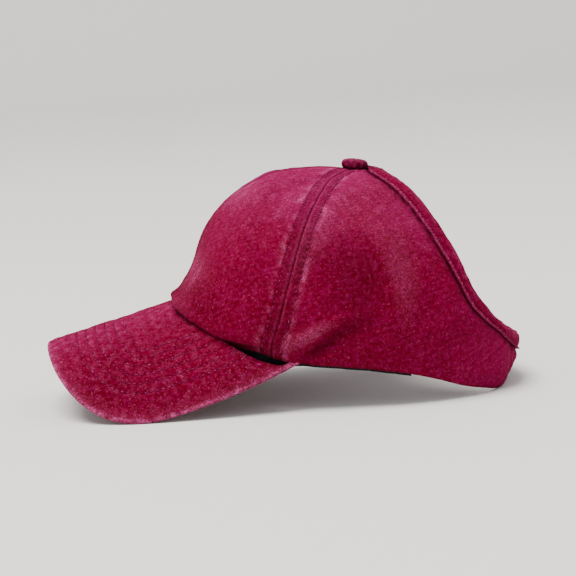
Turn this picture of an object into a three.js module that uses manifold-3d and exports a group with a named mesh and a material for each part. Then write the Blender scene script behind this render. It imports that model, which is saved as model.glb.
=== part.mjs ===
// A ponytail baseball cap of washed cotton, in millimetres.
// The brim points to -X, the back of the head to +X and the wearer's left to -Y, and +Z is up.
// The cap is shaped level, then tipped and set down on the points that it rests on.
import * as THREE from 'three';
import { mergeVertices } from 'three/addons/utils/BufferGeometryUtils.js';
import Module from 'manifold-3d';

const wasm = await Module();
wasm.setup();

// Driving dimensions of the crown
const crownFront = 104.6; // button's axis to the rim at the front
const crownBack = 88.6; // button's axis to the rim at the back
const crownHalfWidth = 74;
const crownHeight = 117; // button above the level that the rim's heights start from
const axisOffset = 5.7; // button's axis behind the middle
const frontRimHeight = 41.4; // crown and brim meet here at the front
const frontSquareness = 2.45; // 2 is an ellipse, more is squarer
const backSquareness = 2.15;
const clothWall = 1.6;

// Driving dimensions of the brim, whose plate is bent round a cylinder
const brimLength = 75.8; // along its middle
const brimHalfWidth = 95; // along the bent plate
const brimSlope = 18.2; // degrees down towards the front
const brimBend = 79; // radius of the bend
const brimShoulder = 9; // ahead of the crown, where the brim is widest
const brimSquareness = 2.85;
const brimCornerBack = 58.5; // corners behind the middle of the seam
const brimCornerInset = 6.8; // corners nearer the middle than the widest part
const brimTurnShare = 0.68; // part of the free edge that is the squared oval
const brimUnderCrown = 0.9; // the plate starts at this share of the rim's reach, before the crown cuts it
const brimWall = 2.6;
const brimEndLift = 1; // rim lifted off the brim beside each corner

// Driving dimensions of the trims
const bindingWidth = 9;
const bindingWall = 1.1;
const bindingSlack = 0.15; // stands off the cloth inside, beyond the clearance
const sweatbandHeight = 27;
const sweatbandWall = 1.2;
const sweatbandDrop = 1.2; // below the rim
const sweatbandSlack = 0.5; // stands off the cloth, beyond the clearance
const sweatbandEnd = 111; // degrees from the front
const buttonRadius = 7.6;
const buttonHeight = 5.2;
const buttonRounding = 0.45; // of its lower edge, as a share of its height
const buttonTilt = 4.5; // degrees, lower at the back
const shankRadius = 2;
const shankLength = 4.4;

// Clearance between pieces, and the depth of folds and gathers
const clearance = 0.3;
const foldDepth = 1.6;
const gatherPitch = 11.5;
const gatherDepth = 1.3;
const gatherReach = 36; // from the middle of the back, along the rim

// Grid counts of the meshes
const frontPanelGrid = { along: 16, up: 15 };
const sidePanelGrid = { round: 4, seam: 12, rim: 18, gathers: 13, across: 7 };
const brimGrid = { round: 34, across: 5 };
const sweatbandGrid = { along: 60, up: 4 };
const buttonSides = 24;
const coreGrid = { turns: 120, ups: [0, 0.03, 0.06, 0.1, 0.16, 0.24] };
const seatGrid = { turns: 36, ups: [0.98, 0.97, 0.96] };

const degree = Math.PI / 180;

function named(columns, rows) {
  return Object.fromEntries(columns.map((column, place) => [column, rows.map((row) => row[place])]));
}

// Sections of the crown from rim to button, at the front, the sides and the back.
// Out is a share of the rim's reach from the button's axis, rise a share of the height above the rim.
const crownSections = named(
  ['up', 'frontOut', 'frontRise', 'sideOut', 'sideRise', 'backOut', 'backRise'],
  [
    [0.00, 1.000, 0.000, 1.000, 0.000, 1.000, 0.000],
    [0.06, 1.000, 0.060, 1.020, 0.075, 1.030, 0.070],
    [0.14, 0.965, 0.130, 1.030, 0.170, 1.050, 0.160],
    [0.24, 0.905, 0.245, 1.030, 0.290, 1.055, 0.270],
    [0.34, 0.865, 0.345, 1.010, 0.410, 1.035, 0.385],
    [0.44, 0.850, 0.450, 0.970, 0.520, 0.995, 0.490],
    [0.54, 0.815, 0.575, 0.905, 0.630, 0.930, 0.600],
    [0.64, 0.750, 0.700, 0.810, 0.740, 0.840, 0.710],
    [0.73, 0.665, 0.800, 0.690, 0.830, 0.720, 0.810],
    [0.81, 0.560, 0.905, 0.545, 0.905, 0.570, 0.900],
    [0.88, 0.420, 0.985, 0.370, 0.960, 0.390, 0.960],
    [0.94, 0.220, 1.015, 0.190, 0.990, 0.200, 0.990],
    [1.00, 0.000, 1.000, 0.000, 1.000, 0.000, 1.000],
  ],
);

// Height of the rim behind the brim, as a share of the crown's height, by degrees from the front
const rimHeights = named(
  ['angle', 'height'],
  [
    [74, 0.132],
    [90, 0.109],
    [105, 0.078],
    [116, 0.044],
    [125, 0.011],
    [136, -0.017],
    [150, -0.039],
    [165, -0.038],
    [180, -0.030],
  ],
);
const rimLeavesBrim = { from: 58, to: 82 }; // degrees from the front
const brimEnd = { angle: 63, spread: 8 }; // where the rim lifts off the brim

// The seam between front and side panel, in degrees from the front, by share up the crown
const seamLine = named(
  ['up', 'angle'],
  [
    [0.00, 64.5],
    [0.08, 65.6],
    [0.18, 67.5],
    [0.33, 69.5],
    [0.50, 71.0],
    [0.70, 71.5],
    [0.86, 71.0],
    [1.00, 68.0],
  ],
);

// Edge of the ponytail opening from behind the button down to the band: degrees and share up the crown
const openingEdge = [
  { angle: 180, up: 0.955 },
  { angle: 150, up: 0.945 },
  { angle: 132, up: 0.915 },
  { angle: 126, up: 0.870 },
  { angle: 124, up: 0.800 },
  { angle: 124, up: 0.728 },
  { angle: 125, up: 0.657 },
  { angle: 127, up: 0.557 },
  { angle: 131.5, up: 0.395 },
  { angle: 139, up: 0.312 },
  { angle: 147, up: 0.260 },
  { angle: 154.5, up: 0.233 },
  { angle: 165, up: 0.198 },
  { angle: 180, up: 0.185 },
];

// Folds and dents: place, turn from level in degrees, half length and half width as shares of the
// crown's height, and height as a share of the fold depth, outwards positive
const folds = [
  { angle: 80.5, up: 0.080, turn: 50, length: 0.100, width: 0.045, height: -1.0 },
  { angle: 78.5, up: 0.150, turn: 43, length: 0.120, width: 0.045, height: 0.9 },
  { angle: 14.0, up: 0.270, turn: 80, length: 0.110, width: 0.050, height: 0.5 },
  { angle: 4.0, up: 0.280, turn: 90, length: 0.090, width: 0.055, height: -0.8 },
  { angle: 12.0, up: 0.090, turn: 10, length: 0.120, width: 0.060, height: 0.5 },
  { angle: 88.0, up: 0.380, turn: 80, length: 0.200, width: 0.080, height: -0.9 },
  { angle: 77.0, up: 0.560, turn: 75, length: 0.200, width: 0.050, height: 0.7 },
  { angle: 101.0, up: 0.450, turn: 100, length: 0.220, width: 0.070, height: 0.7 },
];
const gatherFade = { up: 0.24, spread: 0.13 }; // where the gathers are deepest, as shares up the crown

// A smooth curve through stations, with the slope of each from its two neighbours
function smoothThrough(stations, values) {
  const last = stations.length - 1;
  const slopes = stations.map((station, i) => {
    if (i === 0) return (values[1] - values[0]) / (stations[1] - station);
    if (i === last) return (values[last] - values[last - 1]) / (station - stations[last - 1]);
    const before = station - stations[i - 1];
    const after = stations[i + 1] - station;
    const rise = before ** 2 * (values[i + 1] - values[i]) + after ** 2 * (values[i] - values[i - 1]);
    return rise / (before * after * (before + after));
  });
  return (at) => {
    if (at <= stations[0]) return values[0];
    if (at >= stations[last]) return values[last];
    const i = stations.findIndex((station) => station > at) - 1;
    const span = stations[i + 1] - stations[i];
    const s = (at - stations[i]) / span;
    const start = values[i] * (1 + 2 * s) * (1 - s) ** 2 + slopes[i] * span * s * (1 - s) ** 2;
    const end = values[i + 1] * s * s * (3 - 2 * s) - slopes[i + 1] * span * s * s * (1 - s);
    return start + end;
  };
}

function smoothStep(from, to, at) {
  const s = THREE.MathUtils.clamp((at - from) / (to - from), 0, 1);
  return s * s * (3 - 2 * s);
}

const sectionCurve = Object.fromEntries(
  Object.entries(crownSections).map(([name, values]) => [name, smoothThrough(crownSections.up, values)]),
);
const rimHeightAt = smoothThrough(rimHeights.angle, rimHeights.height);
const seamAngleAt = smoothThrough(seamLine.up, seamLine.angle);

// The brim's own axes: ahead along its middle, and square to its plate there
const brimStart = new THREE.Vector3(axisOffset - crownFront, 0, frontRimHeight);
const brimAhead = new THREE.Vector3(-Math.cos(brimSlope * degree), 0, -Math.sin(brimSlope * degree));
const brimUp = new THREE.Vector3(-Math.sin(brimSlope * degree), 0, Math.cos(brimSlope * degree));

// A point of the brim's plate, by its distance ahead, along the bend and above the top face
function brimPoint(ahead, round, above) {
  const turn = round / brimBend;
  const radius = brimBend + above;
  return brimStart
    .clone()
    .addScaledVector(brimAhead, ahead)
    .addScaledVector(brimUp, radius * Math.cos(turn) - brimBend)
    .add(new THREE.Vector3(0, radius * Math.sin(turn), 0));
}

// The brim's distances ahead and along the bend, over a point of the plan
function brimPlace(x, y) {
  const turn = Math.asin(THREE.MathUtils.clamp(y / brimBend, -0.985, 0.985));
  const fall = brimBend * (1 - Math.cos(turn));
  const ahead = (x - brimStart.x + fall * brimUp.x) / brimAhead.x;
  return { ahead, round: turn * brimBend };
}

// The crown's rim, by the angle from the front: an oval in plan, over the brim and then behind it
function rimPoint(angle) {
  const c = Math.cos(angle);
  const s = Math.sin(angle);
  const reach = c > 0 ? crownFront : crownBack;
  const power = 2 / (c > 0 ? frontSquareness : backSquareness);
  const x = axisOffset - reach * Math.sign(c) * Math.abs(c) ** power;
  const y = -crownHalfWidth * Math.sign(s) * Math.abs(s) ** power;
  const turned = Math.abs(Math.atan2(s, c)) / degree;
  const place = brimPlace(x, y);
  const brimEndRise = Math.exp(-(((turned - brimEnd.angle) / brimEnd.spread) ** 2));
  const offBrim = smoothStep(brimEnd.angle - 3 * brimEnd.spread, brimEnd.angle - brimEnd.spread, turned);
  const brimSide = brimPoint(place.ahead, place.round, 0).z - brimWall * (1 - offBrim);
  const behind = rimHeightAt(turned) * crownHeight;
  const leaving = smoothStep(rimLeavesBrim.from, rimLeavesBrim.to, turned);
  const z = THREE.MathUtils.lerp(brimSide + brimEndLift * brimEndRise, behind, leaving);
  return new THREE.Vector3(x, y, z);
}

// The crown's outer face before its folds, by the angle from the front and the share up to the button
function crownPoint(angle, up) {
  const foot = rimPoint(angle);
  const c = Math.cos(angle);
  const front = c > 0 ? c * c : 0;
  const back = c < 0 ? c * c : 0;
  const side = 1 - c * c;
  const { frontOut, sideOut, backOut, frontRise, sideRise, backRise } = sectionCurve;
  const out = front * frontOut(up) + side * sideOut(up) + back * backOut(up);
  const rise = front * frontRise(up) + side * sideRise(up) + back * backRise(up) + Math.min(up, 0);
  const x = axisOffset + (foot.x - axisOffset) * out;
  return new THREE.Vector3(x, foot.y * out, foot.z + (crownHeight - foot.z) * rise);
}

function crownNormal(angle, up) {
  const step = 1e-3;
  const low = Math.max(up, step);
  const along = crownPoint(angle + step, low).sub(crownPoint(angle - step, low));
  const rising = crownPoint(angle, low + step).sub(crownPoint(angle, low - step));
  return along.cross(rising).normalize();
}

// Height of the folds and of the gathers on the back band
function relief(angle, up) {
  const turned = Math.abs(angle) / degree;
  const perDegree = (crownHalfWidth * degree) * sectionCurve.sideOut(up);
  const fromFold = folds.reduce((sum, fold) => {
    const along = (turned - fold.angle) * perDegree;
    const above = (up - fold.up) * crownHeight;
    const c = Math.cos(fold.turn * degree);
    const s = Math.sin(fold.turn * degree);
    const lengthwise = (along * c + above * s) / (fold.length * crownHeight);
    const crosswise = (above * c - along * s) / (fold.width * crownHeight);
    return sum + fold.height * foldDepth * Math.exp(-(lengthwise ** 2) - crosswise ** 2);
  }, 0);
  const fromBack = (180 - turned) * perDegree;
  const reach = 1 - smoothStep(gatherReach * 0.6, gatherReach, fromBack);
  const fade = Math.exp(-(((up - gatherFade.up) / gatherFade.spread) ** 2));
  const wave = Math.cos((2 * Math.PI * fromBack) / gatherPitch) - 1;
  return fromFold + (gatherDepth / 2) * wave * reach * fade;
}

// A point of the cloth, so far under its outer face
function clothPoint(angle, up, depth) {
  return crownPoint(angle, up).addScaledVector(crownNormal(angle, up), relief(angle, up) - depth);
}

// The same for a lining, which follows only the folds that come inwards
function liningPoint(angle, up, depth) {
  return crownPoint(angle, up).addScaledVector(crownNormal(angle, up), Math.min(relief(angle, up), 0) - depth);
}

// A closed mesh from its points and triangles
function closedMesh(points, triangles) {
  const geometry = new THREE.BufferGeometry();
  geometry.setAttribute('position', new THREE.Float32BufferAttribute(points.flatMap((p) => p.toArray()), 3));
  geometry.setIndex(triangles.flat());
  return geometry;
}

// Two triangles for four corners in turn, split along the shorter diagonal
function quad(points, a, b, c, d) {
  const firstIsShorter = points[a].distanceTo(points[c]) <= points[b].distanceTo(points[d]);
  return firstIsShorter ? [[a, b, c], [a, c, d]] : [[a, b, d], [b, c, d]];
}

// A sheet from two grids of points, its outer and inner face, joined round the border
function sheetGeometry(outer, inner) {
  const columns = outer.length;
  const rows = outer[0].length;
  const points = [...outer.flat(), ...inner.flat()];
  const at = (layer, i, j) => (layer * columns + i) * rows + j;
  const triangles = [];
  const addQuad = (a, b, c, d) => triangles.push(...quad(points, a, b, c, d));
  for (let i = 0; i < columns - 1; i++) {
    for (let j = 0; j < rows - 1; j++) {
      addQuad(at(0, i, j), at(0, i + 1, j), at(0, i + 1, j + 1), at(0, i, j + 1));
      addQuad(at(1, i, j), at(1, i, j + 1), at(1, i + 1, j + 1), at(1, i + 1, j));
    }
    addQuad(at(1, i, 0), at(1, i + 1, 0), at(0, i + 1, 0), at(0, i, 0));
    addQuad(at(0, i, rows - 1), at(0, i + 1, rows - 1), at(1, i + 1, rows - 1), at(1, i, rows - 1));
  }
  for (let j = 0; j < rows - 1; j++) {
    addQuad(at(0, 0, j), at(0, 0, j + 1), at(1, 0, j + 1), at(1, 0, j));
    addQuad(at(1, columns - 1, j), at(1, columns - 1, j + 1), at(0, columns - 1, j + 1), at(0, columns - 1, j));
  }
  return closedMesh(points, triangles);
}

// A body swept round a closed loop of sections, each a ring of points in the same order
function loopGeometry(sections) {
  const size = sections[0].length;
  const points = sections.flat();
  const triangles = sections.flatMap((section, i) => {
    const here = i * size;
    const next = ((i + 1) % sections.length) * size;
    return section.flatMap((_, j) => {
      const k = (j + 1) % size;
      return quad(points, here + j, next + j, next + k, here + k);
    });
  });
  return closedMesh(points, triangles);
}

// The same geometry on the other side of the cap
function mirrored(geometry) {
  const other = geometry.clone();
  other.scale(1, -1, 1);
  const index = other.index.array;
  for (let i = 0; i < index.length; i += 3) [index[i], index[i + 1]] = [index[i + 1], index[i]];
  return other;
}

function solid(geometry) {
  const merged = mergeVertices(geometry);
  const mesh = new wasm.Mesh({
    numProp: 3,
    vertProperties: Float32Array.from(merged.attributes.position.array),
    triVerts: Uint32Array.from(merged.index.array),
  });
  return new wasm.Manifold(mesh);
}

function geometryOf(body) {
  const mesh = body.getMesh();
  const geometry = new THREE.BufferGeometry();
  geometry.setAttribute('position', new THREE.Float32BufferAttribute(mesh.vertProperties, 3));
  geometry.setIndex(Array.from(mesh.triVerts));
  return geometry;
}

function shares(count) {
  return Array.from({ length: count + 1 }, (_, i) => i / count);
}

// The crown's hole for the button's shank, as a share up the crown
const nearTop = crownSections.up.at(-2);
const nearTopReach = crownSections.sideOut.at(-2) * crownHalfWidth;
const holeUp = 1 - ((1 - nearTop) * (shankRadius + 2 * clearance)) / nearTopReach;

// How far a seam's edge turns back, so that two panels keep their clearance
function seamTurn(angle, up) {
  const step = 1e-3;
  const perTurn = crownPoint(angle + step, up).distanceTo(crownPoint(angle - step, up)) / (2 * step);
  return clearance / 2 / perTurn;
}

// Keeps the left panels off the middle by half the clearance
function offMiddle(point) {
  point.y = Math.min(point.y, -clearance / 2);
  return point;
}

function frontPanelGeometry() {
  const face = (depth) =>
    shares(frontPanelGrid.along).map((along) =>
      shares(frontPanelGrid.up).map((share) => {
        const up = share * holeUp;
        const seam = seamAngleAt(up) * degree;
        return offMiddle(clothPoint(along * (seam - seamTurn(seam, up)), up, depth));
      }),
    );
  return sheetGeometry(face(0), face(clothWall));
}

// Places on the crown laid flat: the button in the middle and the rim on a circle round it
function flatPlace({ angle, up }) {
  return new THREE.Vector3(-(1 - up) * Math.cos(angle), -(1 - up) * Math.sin(angle), 0);
}

function crownPlace(flat) {
  const angle = Math.atan2(-flat.y, -flat.x);
  return { angle: angle < 0 ? angle + 2 * Math.PI : angle, up: 1 - flat.length() };
}

const openingHalf = openingEdge.map(({ angle, up }) => flatPlace({ angle: angle * degree, up }));
const openingOther = openingHalf.slice(1, -1).reverse().map((p) => new THREE.Vector3(p.x, -p.y, 0));
const openingLoop = new THREE.CatmullRomCurve3([...openingHalf, ...openingOther], true, 'centripetal');

// Where it passes behind the button, the binding ends just clear of it
const openingTop = crownPoint(Math.PI, openingEdge[0].up);
const bindingTopWidth = openingTop.x - axisOffset - buttonRadius - 2 * clearance;

// The side panel runs round the opening. Each column joins a place on its outer border, which goes round
// the button's hole, down the seam and along the rim, to a place on the edge of the opening.
const openingShares = { hole: 0.05, seam: 0.2, rim: 0.36 }; // where each stretch ends on the loop

function sidePanelColumns() {
  const topSeam = seamAngleAt(holeUp) * degree;
  const bottomSeam = seamAngleAt(0) * degree;
  const gatherAngle = Math.PI - gatherReach / crownHalfWidth;
  const { lerp } = THREE.MathUtils;
  const hole = shares(sidePanelGrid.round).slice(0, -1).map((s) => ({
    outer: { angle: lerp(Math.PI, topSeam + seamTurn(topSeam, holeUp), s), up: holeUp },
    loop: openingShares.hole * s,
  }));
  const seam = shares(sidePanelGrid.seam).slice(0, -1).map((s) => {
    const up = holeUp * (1 - s);
    const angle = seamAngleAt(up) * degree;
    return { outer: { angle: angle + seamTurn(angle, up), up }, loop: lerp(openingShares.hole, openingShares.seam, s) };
  });
  const rim = shares(sidePanelGrid.rim).slice(0, -1).map((s) => ({
    outer: { angle: lerp(bottomSeam + seamTurn(bottomSeam, 0), gatherAngle, s), up: 0 },
    loop: lerp(openingShares.seam, openingShares.rim, s),
  }));
  const gathers = shares(sidePanelGrid.gathers).map((s) => ({
    outer: { angle: lerp(gatherAngle, Math.PI, s), up: 0 },
    loop: lerp(openingShares.rim, 0.5, s),
  }));
  return [...hole, ...seam, ...rim, ...gathers].map(({ outer, loop }, i) => ({
    outer: flatPlace(outer),
    edge: openingLoop.getPoint(loop),
    bound: lerp(bindingTopWidth, bindingWidth, smoothStep(0, sidePanelGrid.round + 2, i)),
  }));
}

// How much of a column lies within so many millimetres of the opening's edge
function shareFromEdge({ outer, edge }, distance) {
  const step = 0.02;
  const there = crownPlace(edge.clone().lerp(outer, step));
  const here = crownPlace(edge);
  const perStep = clothPoint(there.angle, there.up, 0).distanceTo(clothPoint(here.angle, here.up, 0));
  return (distance * step) / perStep;
}

// The panel has rows where the binding's edge and middle lie, and even ones from there to its border
function sidePanelGeometry() {
  const columns = sidePanelColumns();
  const face = (depth) =>
    columns.map((column) => {
      const underBinding = shareFromEdge(column, column.bound);
      const even = shares(sidePanelGrid.across).map((share) => 1 - share * (1 - underBinding));
      return [...even, underBinding / 2, 0].map((share) => {
        const { angle, up } = crownPlace(column.edge.clone().lerp(column.outer, share));
        return offMiddle(clothPoint(angle, up, depth));
      });
    });
  return sheetGeometry(face(0), face(clothWall));
}

// The binding is folded over the edge: outside, round the fold and inside, then back along the cloth
function bindingSection(column) {
  const width = column.bound;
  const outside = clearance + bindingWall;
  const inside = clothWall + clearance + bindingSlack;
  const outline = [
    { from: width, above: clearance },
    { from: width, above: outside },
    { from: width / 2, above: outside },
    { from: 0, above: outside },
    { from: -outside, above: 0 },
    { from: -outside, above: -clothWall },
    { from: 0, above: -inside - bindingWall },
    { from: width, above: -inside - bindingWall },
    { from: width, above: -inside },
    { from: width / 2, above: -inside },
    { from: -clearance, above: -inside },
    { from: -clearance, above: clearance },
    { from: width / 2, above: clearance },
  ];
  return outline.map(({ from, above }) => {
    const { angle, up } = crownPlace(column.edge.clone().lerp(column.outer, shareFromEdge(column, from)));
    return clothPoint(angle, up, -above);
  });
}

function bindingGeometry() {
  const left = sidePanelColumns().map(bindingSection);
  const right = left.slice(1, -1).reverse().map((section) => section.map((p) => new THREE.Vector3(p.x, -p.y, p.z)));
  return loopGeometry([...left, ...right]);
}

// Everything inside the crown's outer face and below it, which the brim's plate is cut clear of
function crownCore() {
  const { turns, ups } = coreGrid;
  const bottom = -2 * crownHeight;
  const rings = shares(turns).slice(0, -1).map((share) => {
    const angle = share * 2 * Math.PI;
    const turned = angle > Math.PI ? angle - 2 * Math.PI : angle;
    const wall = ups.map((up) => clothPoint(turned, up, -clearance));
    return [new THREE.Vector3(wall[0].x, wall[0].y, bottom), ...wall];
  });
  const size = rings[0].length;
  const centreBottom = turns * size;
  const centreTop = centreBottom + 1;
  const triangles = [];
  rings.forEach((ring, i) => {
    const here = i * size;
    const next = ((i + 1) % turns) * size;
    for (let j = 0; j < size - 1; j++) {
      triangles.push([here + j, next + j, next + j + 1], [here + j, next + j + 1, here + j + 1]);
    }
    triangles.push([next, here, centreBottom], [here + size - 1, next + size - 1, centreTop]);
  });
  const centres = [new THREE.Vector3(axisOffset, 0, bottom), new THREE.Vector3(axisOffset, 0, crownHeight)];
  return closedMesh([...rings.flat(), ...centres], triangles);
}

// The brim's free edge from the middle of the front to a corner: a squared oval, then a gentle taper
function brimEdge(share) {
  const part = Math.abs(share);
  const front = brimLength - brimShoulder;
  const turn = (Math.min(part / brimTurnShare, 1) * Math.PI) / 2;
  const size = (Math.cos(turn) ** brimSquareness + Math.sin(turn) ** brimSquareness) ** (-1 / brimSquareness);
  const back = Math.max(part - brimTurnShare, 0) / (1 - brimTurnShare);
  const ahead = brimShoulder + front * size * Math.cos(turn) - (brimShoulder + brimCornerBack) * back;
  const round = brimHalfWidth * size * Math.sin(turn) - brimCornerInset * back ** 2;
  return { ahead, round: Math.sign(share) * round };
}

function brimGeometry() {
  const corner = brimEdge(1);
  const cornerPoint = brimPoint(corner.ahead, corner.round, 0);
  const cornerAngle = Math.acos(((axisOffset - cornerPoint.x) / crownFront) ** (frontSquareness / 2));
  const face = (above) =>
    shares(brimGrid.round).map((place) => {
      const share = 2 * place - 1;
      const foot = rimPoint(-share * cornerAngle);
      const start = brimPlace(axisOffset + (foot.x - axisOffset) * brimUnderCrown, foot.y * brimUnderCrown);
      const end = brimEdge(share);
      return shares(brimGrid.across).map((across) => {
        const ahead = THREE.MathUtils.lerp(start.ahead, end.ahead, across);
        return brimPoint(ahead, THREE.MathUtils.lerp(start.round, end.round, across), above);
      });
    });
  const plate = sheetGeometry(face(0), face(-brimWall));
  return geometryOf(solid(plate).subtract(solid(crownCore())));
}

function sweatbandGeometry() {
  const face = (depth) =>
    shares(sweatbandGrid.along).map((along) => {
      const angle = (2 * along - 1) * sweatbandEnd * degree;
      const rise = crownHeight - rimPoint(angle).z;
      return shares(sweatbandGrid.up).map((share) => {
        const height = THREE.MathUtils.lerp(-sweatbandDrop, sweatbandHeight - sweatbandDrop, share);
        return liningPoint(angle, height / rise, depth);
      });
    });
  const outside = clothWall + clearance + sweatbandSlack;
  return sheetGeometry(face(outside), face(outside + sweatbandWall));
}

// The button's half profile: its shank, a flat seat and a round top
function buttonGeometry() {
  const rounding = buttonRounding * buttonHeight;
  const rim = buttonRadius - rounding;
  const profile = new THREE.Path();
  profile.moveTo(0, -shankLength);
  profile.lineTo(shankRadius, -shankLength);
  profile.lineTo(shankRadius, 0);
  profile.lineTo(rim, 0);
  profile.absarc(rim, rounding, rounding, -Math.PI / 2, Math.PI / 4);
  profile.quadraticCurveTo(rim / 2, buttonHeight, 0, buttonHeight);
  const geometry = new THREE.LatheGeometry(profile.getPoints(4), buttonSides);
  geometry.rotateX(Math.PI / 2);
  geometry.deleteAttribute('normal');
  geometry.deleteAttribute('uv');
  return mergeVertices(geometry, 1e-3);
}

// Height of the button's seat, so that its tilted underside clears the crown
function buttonSeat() {
  const slope = Math.tan(buttonTilt * degree);
  const heights = shares(seatGrid.turns).flatMap((turn) =>
    [holeUp, ...seatGrid.ups].map((up) => {
      const point = clothPoint(turn * Math.PI, up, 0);
      const away = Math.hypot(point.x - axisOffset, point.y);
      return away > buttonRadius ? -Infinity : point.z + (point.x - axisOffset) * slope;
    }),
  );
  return Math.max(...heights) + clearance;
}

const cotton = new THREE.MeshStandardMaterial({ color: 0x890c35, roughness: 0.95, metalness: 0 });
const bindingCotton = new THREE.MeshStandardMaterial({ color: 0x8e2144, roughness: 0.95, metalness: 0 });
const bandCotton = new THREE.MeshStandardMaterial({ color: 0x151317, roughness: 0.95, metalness: 0 });

function piece(name, geometry, material) {
  const mesh = new THREE.Mesh(geometry, material);
  mesh.name = name;
  return mesh;
}

function capPieces() {
  const frontPanel = frontPanelGeometry();
  const sidePanel = sidePanelGeometry();
  const button = piece('button', buttonGeometry(), cotton);
  button.position.set(axisOffset, 0, buttonSeat());
  button.rotation.y = buttonTilt * degree;
  return [
    piece('front_panel_left', frontPanel, cotton),
    piece('front_panel_right', mirrored(frontPanel), cotton),
    piece('side_panel_left', sidePanel, cotton),
    piece('side_panel_right', mirrored(sidePanel), cotton),
    piece('brim', brimGeometry(), cotton),
    piece('opening_binding', bindingGeometry(), bindingCotton),
    piece('sweatband', sweatbandGeometry(), bandCotton),
    button,
  ];
}

// All corners of the pieces, and the middle of their volume along X
function cornersOf(pieces) {
  return pieces.flatMap((mesh) => {
    mesh.updateMatrixWorld(true);
    const position = mesh.geometry.attributes.position;
    return Array.from({ length: position.count }, (_, i) =>
      new THREE.Vector3().fromBufferAttribute(position, i).applyMatrix4(mesh.matrixWorld),
    );
  });
}

function balanceX(pieces) {
  let volume = 0;
  let moment = 0;
  pieces.forEach((mesh) => {
    const position = mesh.geometry.attributes.position;
    const corner = (k) => new THREE.Vector3().fromBufferAttribute(position, mesh.geometry.index.getX(k));
    for (let k = 0; k < mesh.geometry.index.count; k += 3) {
      const [a, b, c] = [corner(k), corner(k + 1), corner(k + 2)];
      const part = a.dot(b.clone().cross(c)) / 6;
      volume += part;
      moment += (part * (a.x + b.x + c.x + 4 * mesh.position.x)) / 4;
    }
  });
  return moment / volume;
}

// The turn that lays the cap on the two lowest lines of points ahead of and behind its balance
function restingTurn(pieces) {
  const corners = cornersOf(pieces);
  const balance = balanceX(pieces);
  const ahead = corners.filter((p) => p.x < balance);
  const behind = corners.filter((p) => p.x >= balance);
  const passes = 20;
  let turn = 0;
  for (let pass = 0; pass < passes; pass++) {
    const height = (p) => p.z * Math.cos(turn) - p.x * Math.sin(turn);
    const lowest = (points) => points.reduce((low, p) => (height(p) < height(low) ? p : low));
    const [front, back] = [lowest(ahead), lowest(behind)];
    turn = Math.atan2(back.z - front.z, back.x - front.x);
  }
  return turn;
}

const pieces = capPieces();
const cap = new THREE.Group();
cap.rotation.y = restingTurn(pieces);
cap.add(...pieces);
const box = new THREE.Box3().setFromPoints(cornersOf(pieces).map((p) => p.applyEuler(cap.rotation)));
cap.position.set(-(box.min.x + box.max.x) / 2, -(box.min.y + box.max.y) / 2, -box.min.z);
const group = new THREE.Group();
group.add(cap);

export default group;
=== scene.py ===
import bpy
import numpy as np
from mathutils import Matrix, Vector


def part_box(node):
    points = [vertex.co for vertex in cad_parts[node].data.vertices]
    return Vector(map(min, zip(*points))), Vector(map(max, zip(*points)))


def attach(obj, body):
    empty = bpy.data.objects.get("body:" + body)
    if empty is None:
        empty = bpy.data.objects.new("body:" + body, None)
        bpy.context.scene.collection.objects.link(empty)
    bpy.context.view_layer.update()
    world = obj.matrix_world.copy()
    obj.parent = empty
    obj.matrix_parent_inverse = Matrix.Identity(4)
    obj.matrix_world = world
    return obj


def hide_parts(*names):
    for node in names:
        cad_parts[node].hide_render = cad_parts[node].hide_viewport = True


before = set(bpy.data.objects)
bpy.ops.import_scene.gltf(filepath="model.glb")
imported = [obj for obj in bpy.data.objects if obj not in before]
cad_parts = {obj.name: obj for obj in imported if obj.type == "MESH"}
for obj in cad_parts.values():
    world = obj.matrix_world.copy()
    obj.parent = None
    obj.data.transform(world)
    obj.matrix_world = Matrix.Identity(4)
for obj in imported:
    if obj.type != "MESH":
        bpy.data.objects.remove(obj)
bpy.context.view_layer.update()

# A ponytail baseball cap of washed cotton twill. Shapes are worked out level, in millimetres: the brim
# points to -X, the back of the head to +X, the wearer's left to -Y. They are tipped to rest at the end.
rest = {"turn": 3.2504, "shift": (33.988, 0.0, 9.717)}

crown = {
    "front": 104.6, "back": 88.6, "halfWidth": 74.0, "height": 117.0, "axis": 5.7,
    "frontSquareness": 2.45, "backSquareness": 2.15, "wall": 1.6, "holeUp": 0.9895,
}
brim = {
    "rimHeight": 41.4, "length": 75.8, "halfWidth": 95.0, "slope": 18.2, "bend": 79.0, "shoulder": 9.0,
    "squareness": 2.85, "cornerBack": 58.5, "cornerInset": 6.8, "wall": 2.6, "turnShare": 0.68,
    "under": 0.972, "gap": 7.5, "gapFrom": 32.0, "gapFull": 60.0, "gapClose": 10.0,
    "endAngle": 63.0, "endSpread": 8.0, "endLift": 2.6, "leaveFrom": 58.0, "leaveTo": 82.0,
}

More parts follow.
